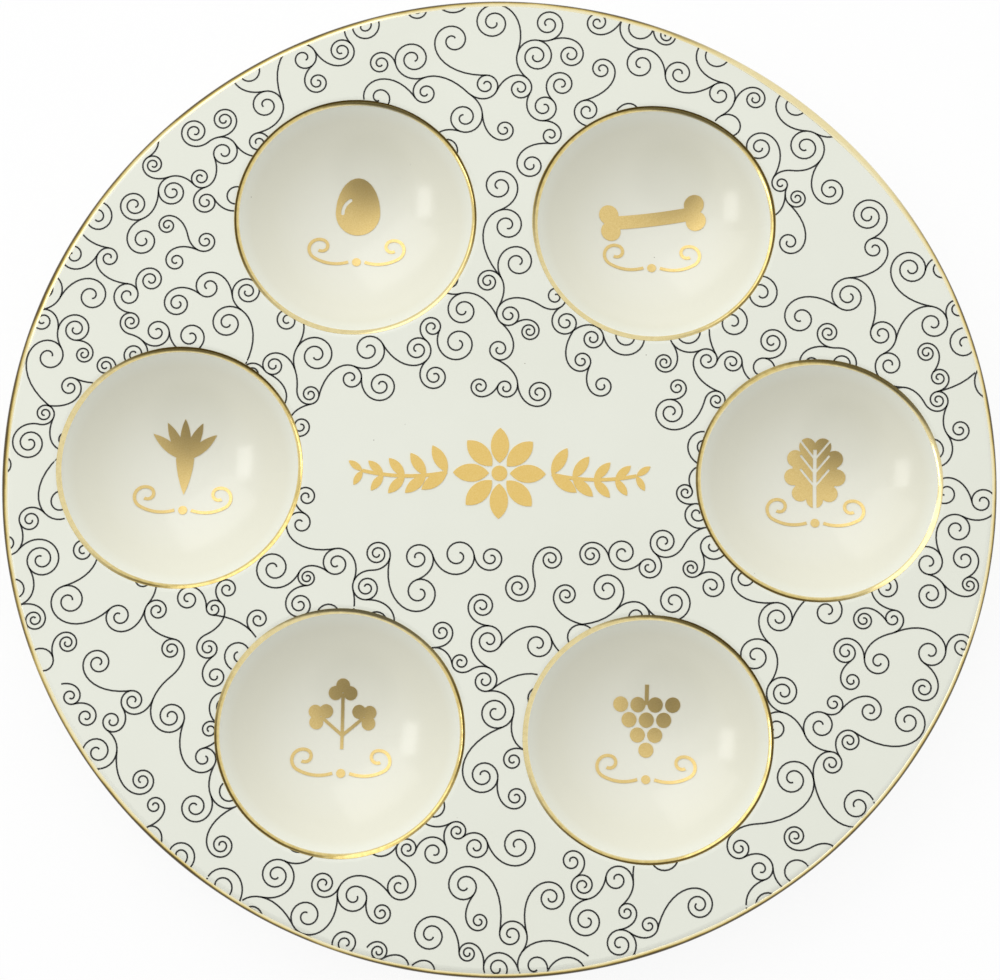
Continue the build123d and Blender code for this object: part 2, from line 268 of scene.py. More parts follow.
waves = add_grain(tree, "slow waviness", WAVE_SIZE, WAVE_CONTRAST)
bump = add_node(tree, "ShaderNodeBump", "glaze surface", Height=waves, Strength=WAVE_STRENGTH,
                Distance=WAVE_HEIGHT)
tree.links.new(bump.outputs["Normal"], shader.inputs["Normal"])
dress(nodes["plate_body"], glaze)
print("glaze with", len(tree.nodes), "nodes")

# %% [markdown]
# ## Gold of the ornaments
# The ornaments are gold transfers, laid on and fired. In the wells these fire to a satin metal, and the
# large one in the middle stays matte and grainy. A plain metal colour would look like foil, because real
# gold film is thicker and thinner from spot to spot. So one grain changes the colour, the gloss and the
# surface together.

# %% Gold transfers
SATIN_GOLD = srgb(226, 202, 140)
SATIN_GOLD_THIN = srgb(212, 184, 116)
MATTE_GOLD = srgb(223, 188, 98)
MATTE_GOLD_LIGHT = srgb(234, 206, 132)
TRANSFER_GRAIN = 2600.0
GOLD_CONTRAST = 2.2
GRAIN_HEIGHT = 0.05 * MM


def gold_finish(name, thick, thin, grain_size, roughness, metal, relief):
    """A gold whose colour, gloss and surface follow one grain, with its tree, its shader and its colour."""
    material, tree, shader = new_finish(name)
    grain = add_grain(tree, "grain of the gold", grain_size, GOLD_CONTRAST)
    colour = blend(tree, "thick and thin gold", grain, thick, thin)
    tree.links.new(colour, shader.inputs["Base Color"])
    gloss = ramp(tree, "gloss follows the grain", grain, levels=roughness)
    tree.links.new(gloss, shader.inputs["Roughness"])
    bump = add_node(tree, "ShaderNodeBump", "grain stands up", Height=grain, Strength=relief,
                    Distance=GRAIN_HEIGHT)
    tree.links.new(bump.outputs["Normal"], shader.inputs["Normal"])
    shader.inputs["Metallic"].default_value = metal
    print(name, "with", len(tree.nodes), "nodes")
    return material, tree, shader, colour


satin_gold = gold_finish("satin_gold_transfer", SATIN_GOLD, SATIN_GOLD_THIN, TRANSFER_GRAIN,
                         roughness=(0.3, 0.44), metal=1.0, relief=0.08)[0]
matte_gold = gold_finish("matte_gold_transfer", MATTE_GOLD, MATTE_GOLD_LIGHT, TRANSFER_GRAIN,
                         roughness=(0.5, 0.7), metal=0.5, relief=0.15)[0]
for name in WELL_NAMES:
    dress(nodes[f"{name}_well_ornament"], satin_gold)
dress(nodes["centre_gold_ornament"], matte_gold)

# %% [markdown]
# ## Gold of the painted lines
# The lines on the rim and round the wells are bright gold, brushed on by hand while the plate turns on a
# wheel. A dark olive streak runs along each line and is hardly metal: it is painted reflection, the dark
# arcs that the rounded gold mirrors, put into its colour. Noise alone would put such marks anywhere, so
# they follow the flat strip that each line is rolled from, which its UV map keeps: across the strip the
# streak has its place, and a slow noise lets it come and go along the line.

# %% The dark streak
STREAK_SOFTNESS = 0.12
STRETCH_SIZE = 9.0
STRETCH_CONTRAST = 2.6
STRETCH_SOFTNESS = 0.2


def soft_ramp(tree, label, value, ends, levels=(0.0, 1.0)):
    """A ramp that starts and ends gently."""
    return ramp(tree, label, value, ends, levels, kind="SMOOTHSTEP")


def dark_streak(tree, across, first, last, share):
    """A mask of the streak between two places across the line, on about this share of its length."""
    begins = soft_ramp(tree, "streak begins", across, (first - STREAK_SOFTNESS, first + STREAK_SOFTNESS))
    ends = soft_ramp(tree, "streak ends", across, (last - STREAK_SOFTNESS, last + STREAK_SOFTNESS),
                     levels=(1.0, 0.0))
    stretches = add_grain(tree, "stretches of the streak", STRETCH_SIZE, STRETCH_CONTRAST)
    present = soft_ramp(tree, "streak comes and goes", stretches,
                        (1 - STRETCH_SOFTNESS - share, 1 + STRETCH_SOFTNESS - share))
    band = combine(tree, "streak across", "MULTIPLY", begins, ends)
    return combine(tree, "streak along", "MULTIPLY", band, present)


print("the streak's edges fade over", round(2 * STREAK_SOFTNESS, 2), "of the line's width")

# %% [markdown]
# At one edge of a line the gold turns pale: this is a painted sheen. One stretch of each line has no streak
# and is pale all across, a painted highlight: it lies halfway along the strip. The strip's outermost rows
# are folded down into the glaze, so the places across are counted between these folds, and a noise makes
# them waver.

# %% Streak and wash together
LINE_ROWS = 8
BRUSHED_GRAIN = 600.0
WAVER_SIZE = 25.0
WAVER_CONTRAST = 0.5
HALFWAY = 0.5
PALE_CORE = 1 / 3
# The dark streak colour is a painted reflection, not a colour of the gold.
PAINTED_DARK_REFLECTION = srgb(78, 62, 22)
# The pale colour is a painted sheen and highlight, not a thinner gold.
PAINTED_PALE_SHEEN = srgb(235, 226, 188)
DARK_STREAK_METAL = 0.25
DARK_STREAK_SHINE = 0.1


def line_gold(name, thick, thin, streak, streak_share, sheen, pale_half, pale_sheen):
    """Bright gold with a dark streak of painted reflection between two places across the line, on about this
    share of its length, a painted pale sheen that grows from one place across to another, and a pale stretch
    of painted highlight, by half its length and its sheen."""
    material, tree, shader, colour = gold_finish(name, thick, thin, BRUSHED_GRAIN, roughness=(0.08, 0.18),
                                                 metal=1.0, relief=0.1)
    layout = add_node(tree, "ShaderNodeUVMap", "strip layout")
    strip = add_node(tree, "ShaderNodeSeparateXYZ", "along and across", Vector=layout.outputs["UV"])
    between_folds = ramp(tree, "across, between the folds", strip.outputs["Y"],
                         (1 / LINE_ROWS, 1 - 1 / LINE_ROWS))
    waver = add_grain(tree, "the streak wavers", WAVER_SIZE, WAVER_CONTRAST)
    waver = combine(tree, "waver round nothing", "SUBTRACT", waver, MASK_MIDDLE)
    across = combine(tree, "wavering place", "ADD", between_folds, waver)

    from_pale = combine(tree, "along from the pale stretch", "SUBTRACT", strip.outputs["X"], HALFWAY)
    distance = combine(tree, "away from the pale stretch", "ABSOLUTE", from_pale)
    rich = soft_ramp(tree, "rich gold elsewhere", distance, (pale_half * PALE_CORE, pale_half))
    edge_sheen = soft_ramp(tree, "painted sheen at the edge", across, sheen)
    stretch_sheen = ramp(tree, "pale stretch", rich, levels=(pale_sheen, 0.0))
    all_sheen = combine(tree, "all the wash", "MAXIMUM", edge_sheen, stretch_sheen)
    darkened = dark_streak(tree, across, *streak, streak_share)
    darkened = combine(tree, "streak on rich gold", "MULTIPLY", darkened, rich)

    # The pale blend here is painted sheen and highlight.
    colour = blend(tree, "pale wash", all_sheen, colour, PAINTED_PALE_SHEEN)
    # The dark streak blended in here is painted reflection.
    colour = blend(tree, "streaked gold", darkened, colour, PAINTED_DARK_REFLECTION)
    tree.links.new(colour, shader.inputs["Base Color"])
    metal = ramp(tree, "burnt gold is hardly metal", darkened, levels=(1.0, DARK_STREAK_METAL))
    tree.links.new(metal, shader.inputs["Metallic"])
    shader.inputs["Specular IOR Level"].default_value = DARK_STREAK_SHINE
    print("with its streak and wash", len(tree.nodes), "nodes")
    return material


# %% [markdown]
# Round the wells the gold is paler, and the painted dark reflection lies along the outer edge of the line.
# On the rim the gold is deeper, and the painted dark reflection covers the outer side almost all the way
# round. Both turn to the painted pale sheen at their inner edge. One recipe serves both, with its own
# places and shares for each.

# %% Golds for the wells and the rim
BRIGHT_GOLD = srgb(220, 201, 136)
BRIGHT_GOLD_THIN = srgb(194, 170, 100)
RIM_GOLD = srgb(226, 203, 122)
RIM_GOLD_THIN = srgb(205, 176, 86)

well_gold = line_gold("well_line_gold", BRIGHT_GOLD, BRIGHT_GOLD_THIN, streak=(0.0, 0.4), streak_share=0.7,
                      sheen=(0.6, 1.2), pale_half=0.24, pale_sheen=0.4)
rim_gold = line_gold("rim_line_gold", RIM_GOLD, RIM_GOLD_THIN, streak=(0.28, 1.3), streak_share=0.95,
                     sheen=(0.3, 0.0), pale_half=0.075, pale_sheen=0.65)

# %% [markdown]
# ## Housekeeping for new pieces
# Blender's operators act on all that is selected, and loading leaves the solids selected, so each piece
# starts from an empty selection. A finished piece rides on the plate, and the solids that it stands for are
# hidden.

# %% Helpers for every piece
def select_none():
    """Nothing selected, so that the next operator acts on the new piece alone."""
    bpy.ops.object.select_all(action="DESELECT")


def select_only(piece):
    """One piece selected and active."""
    select_none()
    piece.select_set(True)
    bpy.context.view_layer.objects.active = piece


def turn_faces_out(piece, weld=None):
    """All faces of a piece outwards, after doubles closer than the weld are merged."""
    select_only(piece)
    bpy.ops.object.mode_set(mode="EDIT")
    bpy.ops.mesh.select_all(action="SELECT")
    if weld:
        bpy.ops.mesh.remove_doubles(threshold=weld)
    bpy.ops.mesh.normals_make_consistent(inside=False)
    bpy.ops.object.mode_set(mode="OBJECT")


def shape_with(piece, name, kind, **settings):
    """A modifier with these settings, applied at once."""
    select_only(piece)
    modifier = piece.modifiers.new(name, kind)
    for key, value in settings.items():
        setattr(modifier, key, value)
    bpy.ops.object.modifier_apply(modifier=modifier.name)


def keep_piece(piece, slot, *solids):
    """The finished piece rides on the plate, in place of these solids."""
    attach(piece, "root")
    if solids:
        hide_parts(*solids)
    print(piece.name, "has", len(piece.data.polygons), "faces")


select_none()
print("selected:", len(bpy.context.selected_objects))

# %% [markdown]
# ## Gold lines painted by hand
# A brushed line wavers: its edges drift in and out. The plain ring of a solid would look machine-made,
# and a bevelled curve would look like wire. So each line starts as a long flat grid, whose length is
# rolled into a ring on the rounded surface that it is painted on. The rows between its edges lie just
# above the glaze, and the outermost rows sink into it, which closes the edges.

# %% Roll a strip onto a rounded edge
LINE_STEPS = 480
EDGE_SHARE = 0.02
FILM_HEIGHT = 0.1 * MM
FILM_SINK = 0.05 * MM


def roll(line, middle, ring_radius, round_radius, outward, tilt_from, tilt_to, pale_place):
    """The strip, a grid from -1 to 1 both ways, laid between two tilts from upright on a round edge of this
    radius that runs round a ring. A tilt below nothing is a place on the flat ground beside the edge. The
    pale place comes halfway along."""
    for vertex in line.data.vertices:
        around = pale_place + vertex.co.x * math.pi
        row = round((vertex.co.y + 1) / 2 * LINE_ROWS)
        across = EDGE_SHARE + (1 - 2 * EDGE_SHARE) * (row - 1) / (LINE_ROWS - 2)
        rise = FILM_HEIGHT
        if row in (0, LINE_ROWS):
            across = row / LINE_ROWS
            rise = -FILM_SINK
        tilt = tilt_from(around) * (1 - across) + tilt_to(around) * across
        leaning = max(tilt, 0)
        flat_part = round_radius * min(tilt, 0)
        radius = round_radius + rise
        reach = ring_radius + outward * (radius * math.sin(leaning) + flat_part)
        vertex.co = (
            middle.x + reach * math.cos(around),
            middle.y + reach * math.sin(around),
            top_height - round_radius + radius * math.cos(leaning),
        )


print("a strip has", LINE_STEPS, "steps along and", LINE_ROWS, "rows across")

# %% [markdown]
# The rolled strip is still an open sheet whose two ends only touch. Merging the doubles joins the ends,
# the normals are turned up, and a Solidify modifier closes the sheet into a thin film. Smooth noise on a
# circle moves its edges: it ends where it began, so the ring has no step.

# %% Paint a line
FILM_THICKNESS = 0.16 * MM
SEAM_WELD = 0.01 * MM
SMOOTH_BELOW = math.radians(40)


def wander(around, wavelength, seed):
    """Smooth noise from -1 to 1 round a ring, the same at 0 and at a full turn."""
    reach = 1 / wavelength
    return noise.noise(Vector((math.cos(around) * reach, math.sin(around) * reach, seed)))


def wavering_edge(tilt, waver, wavelength, seed):
    """An edge of a line: its tilt at each place round the ring."""
    def edge(around):
        return tilt + waver * wander(around, wavelength, seed)
    return edge


def painted_line(name, gold, **course):
    """A film of gold that follows this course."""
    select_none()
    bpy.ops.mesh.primitive_grid_add(x_subdivisions=LINE_STEPS, y_subdivisions=LINE_ROWS, size=2)
    line = bpy.context.object
    line.name = name
    roll(line, **course)
    turn_faces_out(line, weld=SEAM_WELD)
    if line.data.polygons[0].normal.z < 0:
        line.data.flip_normals()
    shape_with(line, "film", "SOLIDIFY", thickness=FILM_THICKNESS, offset=-1)
    bpy.ops.object.shade_smooth_by_angle(angle=SMOOTH_BELOW)
    dress(line, gold)
    return line


# %% [markdown]
# Each well has one line on its rolled shoulder. All six have the same width and place, but each has its
# own seed, so that no two waver alike, and its own pale place, given in degrees round the well.

# %% Paint the lines round the wells
WELL_LINE_TILT = math.radians(26)
WELL_LINE_HALF = math.radians(11.2)
WELL_LINE_WAVER = math.radians(3)
OUTER_WAVES = 0.7
OUTER_SEED = 30
INNER_WAVES = 0.9
INNER_SEED = 10
# Each pale place is where the painted pale highlight of that well's line lies.
PALE_PLACES = {
    "lettuce": 345,
    "shank_bone": 238,
    "egg": 278,
    "bitter_herb": 180,
    "parsley": 100,
    "charoset": 155,
}

for number, name in enumerate(WELL_NAMES):
    outer_edge = wavering_edge(WELL_LINE_TILT - WELL_LINE_HALF, WELL_LINE_WAVER, OUTER_WAVES,
                               OUTER_SEED + number)
    inner_edge = wavering_edge(WELL_LINE_TILT + WELL_LINE_HALF, WELL_LINE_WAVER, INNER_WAVES,
                               INNER_SEED + number)
    line = painted_line(f"{name}_well_painted_line", well_gold, middle=well_places[name],
                        ring_radius=MOUTH_RADIUS, round_radius=SHOULDER_RADIUS, outward=-1,
                        tilt_from=outer_edge, tilt_to=inner_edge,
                        pale_place=math.radians(PALE_PLACES[name]))
    keep_piece(line, "bright_gold", f"{name}_well_gold_line")

# %% [markdown]
# The rim's line is broader. It isn't quite concentric: it drifts further in over the plate's top on one
# half, and on one stretch the brush ran broader still. Its lower edge stays out of sight below the
# roundest part of the edge.

# %% Paint the line on the rim
RIM_LINE_TOP = math.radians(20)
RIM_LINE_BOTTOM = math.radians(104)
RIM_LINE_WAVER = math.radians(9)
RIM_TOP_WAVES = 0.35
RIM_TOP_SEED = 3
RIM_BOTTOM_WAVES = 0.5
RIM_BOTTOM_SEED = 7
RIM_LINE_DRIFT = math.radians(14)
DRIFT_STRETCH = math.radians(107)
BROAD_STRETCH = math.radians(50)
BROAD_SPREAD = math.radians(16)
BROAD_EXTRA = math.radians(20)

rim_bottom_edge = wavering_edge(RIM_LINE_BOTTOM, RIM_LINE_WAVER, RIM_BOTTOM_WAVES, RIM_BOTTOM_SEED)


def rim_top_edge(around):
    """Where the rim's line begins, further in where it drifts and on its broad stretch."""
    turn = (around - BROAD_STRETCH + math.pi) % (2 * math.pi) - math.pi
    broad = BROAD_EXTRA * math.exp(-((turn / BROAD_SPREAD) ** 2))
    drift = RIM_LINE_DRIFT * math.cos(around - DRIFT_STRETCH)
    return RIM_LINE_TOP - drift - broad + RIM_LINE_WAVER * wander(around, RIM_TOP_WAVES, RIM_TOP_SEED)


rim_line = painted_line("rim_painted_line", rim_gold, middle=Vector((0, 0, 0)),
                        ring_radius=PLATE_RADIUS - EDGE_RADIUS, round_radius=EDGE_RADIUS, outward=1,
                        tilt_from=rim_top_edge, tilt_to=rim_bottom_edge, pale_place=BROAD_STRETCH)
keep_piece(rim_line, "bright_gold", "rim_gold_line")

# %% [markdown]
# ## The scroll print
# Thin black vines curl over the whole ground, and the wells, the rim and a bare space in the middle cut
# them off. Drawing hundreds of curls by hand would take days, so they grow by a rule. A curl is a sweep
# whose bend tightens into a spiral: it is walked in short steps, each turned a little further than the
# one before.

# %% One curl
CURL_STEPS = 24
STEP_CROWDING = 1.4
CURL_WIND = 0.87
SWEEP_ANGLE = 0.55


def curl(start, heading, hand, size, turns, sweep):
    """Points along a curl, and where it heads at each. The hand is 1 to the left and -1 to the right."""
    count = int(turns * CURL_STEPS)
    angle = turns * 2 * math.pi * np.linspace(0, 1, count) ** STEP_CROWDING
    middle = (angle[1:] + angle[:-1]) / 2
    bend = size * (1 - CURL_WIND * middle / angle[-1] + sweep * np.exp(-middle / SWEEP_ANGLE))
    course = heading + hand * middle
    moves = np.stack([np.cos(course), np.sin(course)], 1) * (bend * np.diff(angle))[:, None]
    points = np.vstack([start, start + np.cumsum(moves, 0)])
    return {"points": points, "headings": heading + hand * angle, "hand": hand}


print("a curl has", CURL_STEPS, "points a turn")

# %% [markdown]
# The print stops under the gold lines, so that no gap shows beside them, and it keeps off the middle,
# where the large ornament lies. A cutter on the mesh could trim it, but it is simpler to test each point
# before anything is drawn. The bare space is a soft-cornered rectangle, which a power above 2 in the
# equation of an ellipse gives.

# %% Where the print may go
PRINT_EDGE = PLATE_RADIUS - 0.8 * MM
PRINT_WELL_RADIUS = 37.0 * MM
BARE_HALF_WIDTH = 54 * MM
BARE_HALF_HEIGHT = 21 * MM
BARE_CORNERS = 4

well_middles = [np.array((place.x, place.y)) for place in well_places.values()]


def on_ground(points):
    """Which points lie on the ground, between the gold lines."""
    free = np.hypot(points[:, 0], points[:, 1]) < PRINT_EDGE
    for middle in well_middles:
        free &= np.hypot(*(points - middle).T) > PRINT_WELL_RADIUS
    return free


def in_bare_middle(points):
    """Which points lie in the bare space round the centre ornament."""
    sideways = np.abs(points[:, 0]) / BARE_HALF_WIDTH
    upwards = np.abs(points[:, 1]) / BARE_HALF_HEIGHT
    return sideways ** BARE_CORNERS + upwards ** BARE_CORNERS < 1


print("the middles of the wells are on the ground:", on_ground(np.array(well_middles)).any())

# %% [markdown]
# Real scrollwork is even: its lines come close to each other but don't cross. To compare every new curl
# with all older ones would be slow. So a fine map of the plate keeps, for each of its cells, how near the
# nearest drawn line is, and a new curl only looks up the cells that it passes.

# %% A map of the room between the curls
MAP_CELL = 0.3 * MM
MAP_MARGIN = 14 * MM
MAP_HALF = PLATE_RADIUS + MAP_MARGIN
CURL_GAP = 2.2 * MM
VINE_GAP = 3.0 * MM
LEAST_SHOWN = 0.3

room_left = np.full((int(2 * MAP_HALF / MAP_CELL),) * 2, VINE_GAP)
reach_cells = int(VINE_GAP / MAP_CELL)
reach_square = np.mgrid[-reach_cells:reach_cells + 1, -reach_cells:reach_cells + 1].reshape(2, -1).T
reach_lengths = np.hypot(*reach_square.T) * MAP_CELL
print("the map has", room_left.size, "cells")


def map_cells(points):
    """Cells of the map under these points."""
    return ((points + MAP_HALF) / MAP_CELL).astype(int)


def is_free(stroke, skip, gap):
    """Whether a curl, after its first stretch, keeps off all that is drawn and shows enough of itself."""
    points = stroke["points"]
    lengths = np.cumsum(np.hypot(*np.diff(points, axis=0).T))
    tested = points[np.searchsorted(lengths, skip) + 1:]
    if np.abs(points).max() > MAP_HALF - 2 * VINE_GAP or in_bare_middle(points).any():
        return False
    if on_ground(points).mean() < LEAST_SHOWN:
        return False
    return room_left[tuple(map_cells(tested).T)].min() >= gap


def draw(stroke):
    """Marks on the map how near a curl comes."""
    cells = (map_cells(stroke["points"])[:, None] + reach_square[None]).reshape(-1, 2)
    np.minimum.at(room_left, tuple(cells.T), np.tile(reach_lengths, len(stroke["points"])))


# %% [markdown]
# A vine begins as two curls back to back, and each further curl leaves an older one along its own
# direction. The sizes and the stems are drawn by chance, mostly small and short, as a pen would vary
# them. The random numbers have a fixed seed, so the print is the same each time.

# %% New curls by chance
SMALL_CURL = 3.1 * MM
CURL_SPREAD = 3.6 * MM
CURL_SKEW = 1.3
SHORT_SWEEP = 0.4
SWEEP_SPREAD = 4.4
SWEEP_SKEW = 1.7
FEWEST_TURNS = 1.7
MOST_TURNS = 2.3
FIRST_BRANCH = 2
BRANCH_SHARE = 0.6
FORWARD_SHARE = 0.5
STEM_SHARE = 0.45

chance = random.Random(6)


def curl_size():
    """Many small curls, a few large ones."""
    return SMALL_CURL + CURL_SPREAD * chance.random() ** CURL_SKEW


def curl_turns():
    """A curl winds up by about two turns."""
    return chance.uniform(FEWEST_TURNS, MOST_TURNS)


def sweep_length():
    """Mostly short stems, a few long ones."""
    return SHORT_SWEEP + SWEEP_SPREAD * chance.random() ** SWEEP_SKEW


def first_pair():
    """Two curls back to back at a chance spot, or nothing where there is no room."""
    spot = np.array([chance.uniform(-PLATE_RADIUS, PLATE_RADIUS) for axis in ("x", "y")])
    heading = chance.uniform(0, 2 * math.pi)
    hand = chance.choice((-1, 1))
    pair = [
        curl(spot, heading + turn, hand, curl_size(), curl_turns(), sweep_length()) for turn in (0, math.pi)
    ]
    return pair if all(is_free(stroke, 0, VINE_GAP) for stroke in pair) else None


def branch(parent):
    """A curl that leaves an older one, forwards to the other side or backwards to the same, or nothing."""
    place = chance.randrange(FIRST_BRANCH, int(len(parent["points"]) * BRANCH_SHARE))
    forward = chance.random() < FORWARD_SHARE
    heading = parent["headings"][place] + (0 if forward else math.pi)
    hand = -parent["hand"] if forward else parent["hand"]
    size = curl_size()
    stroke = curl(parent["points"][place], heading, hand, size, curl_turns(), sweep_length())
    return stroke if is_free(stroke, CURL_GAP + STEM_SHARE * size, CURL_GAP) else None


print("curls begin with a radius of", round(SMALL_CURL, 4), "to", round(SMALL_CURL + CURL_SPREAD, 4))

# %% [markdown]
# Vines are started until no room for one more is found. A new vine asks for a wider gap than a branch
# does, so vines start where there is more room, and their branches fill the space between them.

# %% Grow the vines
PAIR_MISSES = 3000
BRANCH_MISSES = 60
VINE_CURLS = 18

strokes = []
misses = 0
while misses < PAIR_MISSES:
    vine = first_pair()
    if vine is None:
        misses += 1
        continue
    misses = 0
    for stroke in vine:
        draw(stroke)
    failures = 0
    while failures < BRANCH_MISSES and len(vine) < VINE_CURLS:
        stroke = branch(chance.choice(vine))
        if stroke is None:
            failures += 1
            continue
        failures = 0
        vine.append(stroke)
        draw(stroke)
    strokes.extend(vine)
print("the print has", len(strokes), "curls")

# %% [markdown]
# A printed line is flat and thin. A round bevel would make it a wire, so each curl becomes a spline of
# one flat curve object above the plate, and a short straight profile swept along it gives the line its
# width. The parts of a curl that lie off the ground are left out, and so are scraps too short to look
# drawn.

# %% Sweep the curls into flat ribbons
LINE_HALF_WIDTH = 0.25 * MM
RIBBON_HEIGHT = top_height + 2 * MM
SHORTEST_PIECE = 4 * MM


def empty_curve(name):
    """A curve object without splines."""
    select_none()
    bpy.ops.curve.primitive_nurbs_path_add()
    made = bpy.context.object
    made.name = name
    made.data.splines.clear()
    return made


profile = empty_curve("print_profile")
profile_line = profile.data.splines.new("POLY")
profile_line.points.add(1)
for point, side in zip(profile_line.points, (-1, 1)):
    point.co = (side * LINE_HALF_WIDTH, 0, 0, 1)

scroll = empty_curve("scroll_print")
scroll.data.twist_mode = "Z_UP"
scroll.data.bevel_mode = "OBJECT"
scroll.data.bevel_object = profile
for stroke in strokes:
    shows = on_ground(stroke["points"])
    cuts = np.flatnonzero(np.diff(shows.astype(int))) + 1
    for run in np.split(stroke["points"], cuts):
        length = np.hypot(*np.diff(run, axis=0).T).sum()
        if not on_ground(run[:1]).all() or length < SHORTEST_PIECE:
            continue
        spline = scroll.data.splines.new("POLY")
        spline.points.add(len(run) - 1)
        for point, spot in zip(spline.points, run):
            point.co = (*spot, RIBBON_HEIGHT, 1)
print("ribbons:", len(scroll.data.splines))

# %% [markdown]
# The curve is then made a mesh, and two modifiers lay it on. Shrinkwrap drops every point straight down
# onto the casting, over the wells' shoulders and the round edge as well, which no flat copy at one height
# could follow. Solidify gives the print its little thickness, so that its underside just reaches into the
# glaze.

# %% Lay the ribbons on the plate
PRINT_RISE = 0.03 * MM
PRINT_THICKNESS = 0.08 * MM

select_only(scroll)
bpy.ops.object.convert(target="MESH")
scroll = bpy.context.object
bpy.data.objects.remove(profile)
shape_with(scroll, "drop", "SHRINKWRAP", wrap_method="PROJECT", wrap_mode="ABOVE_SURFACE",
           use_project_z=True, use_negative_direction=True, use_positive_direction=False,
           target=nodes["plate_body"], offset=PRINT_RISE)
shape_with(scroll, "film", "SOLIDIFY", thickness=PRINT_THICKNESS, offset=0)
turn_faces_out(scroll)
print_heights = [vertex.co.z for vertex in scroll.data.vertices]
print("the print reaches from", round(min(print_heights), 5), "to", round(max(print_heights), 5))

# %% [markdown]
# The print is fired-on ink, nearly black and smooth, with a faint change where it lies thicker. Plain
# black would look like a hole in the plate, so the shared grain varies its colour and its gloss a little.

# %% Ink of the print
INK = srgb(8, 8, 8)
INK_THIN = srgb(18, 19, 18)
INK_GRAIN = 260.0
INK_CONTRAST = 1.8
INK_ROUGHNESS = (0.25, 0.4)

ink, tree, shader = new_finish("scroll_ink")
density = add_grain(tree, "ink lies thick and thin", INK_GRAIN, INK_CONTRAST)
ink_colour = blend(tree, "thick and thin ink", density, INK, INK_THIN)
tree.links.new(ink_colour, shader.inputs["Base Color"])
gloss = ramp(tree, "gloss of the fired ink", density, levels=INK_ROUGHNESS)
tree.links.new(gloss, shader.inputs["Roughness"])
dress(scroll, ink)
keep_piece(scroll, "printed_ink")

# %% [markdown]
# ## Floor
# The plate lies on a plain white floor. A white material alone would render grey where little light falls
# on it, and more light would bleach the plate. So the floor is mixed with plain white for the camera and
# for mirror images, and the rest of the mix still takes a soft shadow from the plate.

# %% Floor
FLOOR_WIDTH = 20.0
FLOOR_PAINT = (0.95, 0.95, 0.95, 1)
FLOOR_ROUGHNESS = 0.9
FLOOR_WHITE_SHARE = 0.89

select_none()
bpy.ops.mesh.primitive_plane_add(size=FLOOR_WIDTH)
floor = bpy.context.object
floor.name = "floor"
floor_finish, tree, shader = new_finish("white_floor")
shader.inputs["Base Color"].default_value = FLOOR_PAINT
shader.inputs["Roughness"].default_value = FLOOR_ROUGHNESS
shader.inputs["Specular IOR Level"].default_value = 0.0
ray = add_node(tree, "ShaderNodeLightPath", "who looks at the floor").outputs
seen = combine(tree, "seen or mirrored", "MAXIMUM", ray["Is Camera Ray"], ray["Is Glossy Ray"])
seen = combine(tree, "or seen through", "MAXIMUM", seen, ray["Is Transmission Ray"])
white_share = combine(tree, "share of plain white", "MULTIPLY", seen, FLOOR_WHITE_SHARE)
plain_white = add_node(tree, "ShaderNodeEmission", "plain white", Strength=1.0)
floor_mix = add_node(tree, "ShaderNodeMixShader", "white floor with a soft shadow", Fac=white_share)
tree.links.new(shader.outputs["BSDF"], floor_mix.inputs[1])
tree.links.new(plain_white.outputs["Emission"], floor_mix.inputs[2])
tree.links.new(floor_mix.outputs["Shader"], tree.nodes["Material Output"].inputs["Surface"])
dress(floor, floor_finish)
print("the floor is", FLOOR_WIDTH, "wide")

# %% [markdown]
# ## Room light
# Soft light comes from the whole room, most of it from above and behind and a little from the left. So
# the far left walls of the wells, which face away from it, stay darker, and the near walls brighten.
# Shiny surfaces mirror the dark space above the front of the plate, where one leans over it to look. That
# gives the gold its dark arcs and keeps the print black. A room with walls could be built for this. The
# world does it with two soft lobes, one for light and one for mirror images.

# %% Room light
LIGHT_FROM = Vector((-0.2, 1.0, 1.0)).normalized()
LIGHT_LEVEL = 1.23
DIM_LEVEL = 0.465
LIGHT_ENDS = math.radians(90)
DARK_ABOVE = Vector((-0.2, -0.4, 0.9)).normalized()
MIRRORED_LEVEL = 1.05
ABOVE_LEVEL = 0.16
ABOVE_FULL = math.radians(17)
ABOVE_ENDS = math.radians(32)
WHITE_LIGHT = (1.0, 1.0, 1.0, 1)


def facing(tree, label, direction, way):
    """How nearly a direction in the room is this way: 1 for the same, 0 for across."""
    node = add_node(tree, "ShaderNodeVectorMath", label, {"operation": "DOT_PRODUCT"})
    connect(tree, node.inputs[0], direction)
    connect(tree, node.inputs[1], way)
    return node.outputs["Value"]


world = bpy.data.worlds.new("room")
bpy.context.scene.world = world
world.use_nodes = True
tree = world.node_tree
direction = add_node(tree, "ShaderNodeTexCoord", "direction").outputs["Generated"]
to_light = facing(tree, "towards the light", direction, LIGHT_FROM)
as_light = soft_ramp(tree, "room as light", to_light, (math.cos(LIGHT_ENDS), 1.0), (DIM_LEVEL, LIGHT_LEVEL))
to_dark = facing(tree, "towards the one who looks", direction, DARK_ABOVE)
as_mirrored = soft_ramp(tree, "room as mirrored", to_dark, (math.cos(ABOVE_ENDS), math.cos(ABOVE_FULL)),
                        (MIRRORED_LEVEL, ABOVE_LEVEL))
ray = add_node(tree, "ShaderNodeLightPath", "light or mirror image").outputs
room = add_node(tree, "ShaderNodeMix", "room as light or as mirrored", Factor=ray["Is Glossy Ray"],
                A=as_light, B=as_mirrored)
tree.links.new(room.outputs["Result"], tree.nodes["Background"].inputs["Strength"])
tree.nodes["Background"].inputs["Color"].default_value = WHITE_LIGHT
print("the room is lit from", [round(value, 2) for value in LIGHT_FROM])

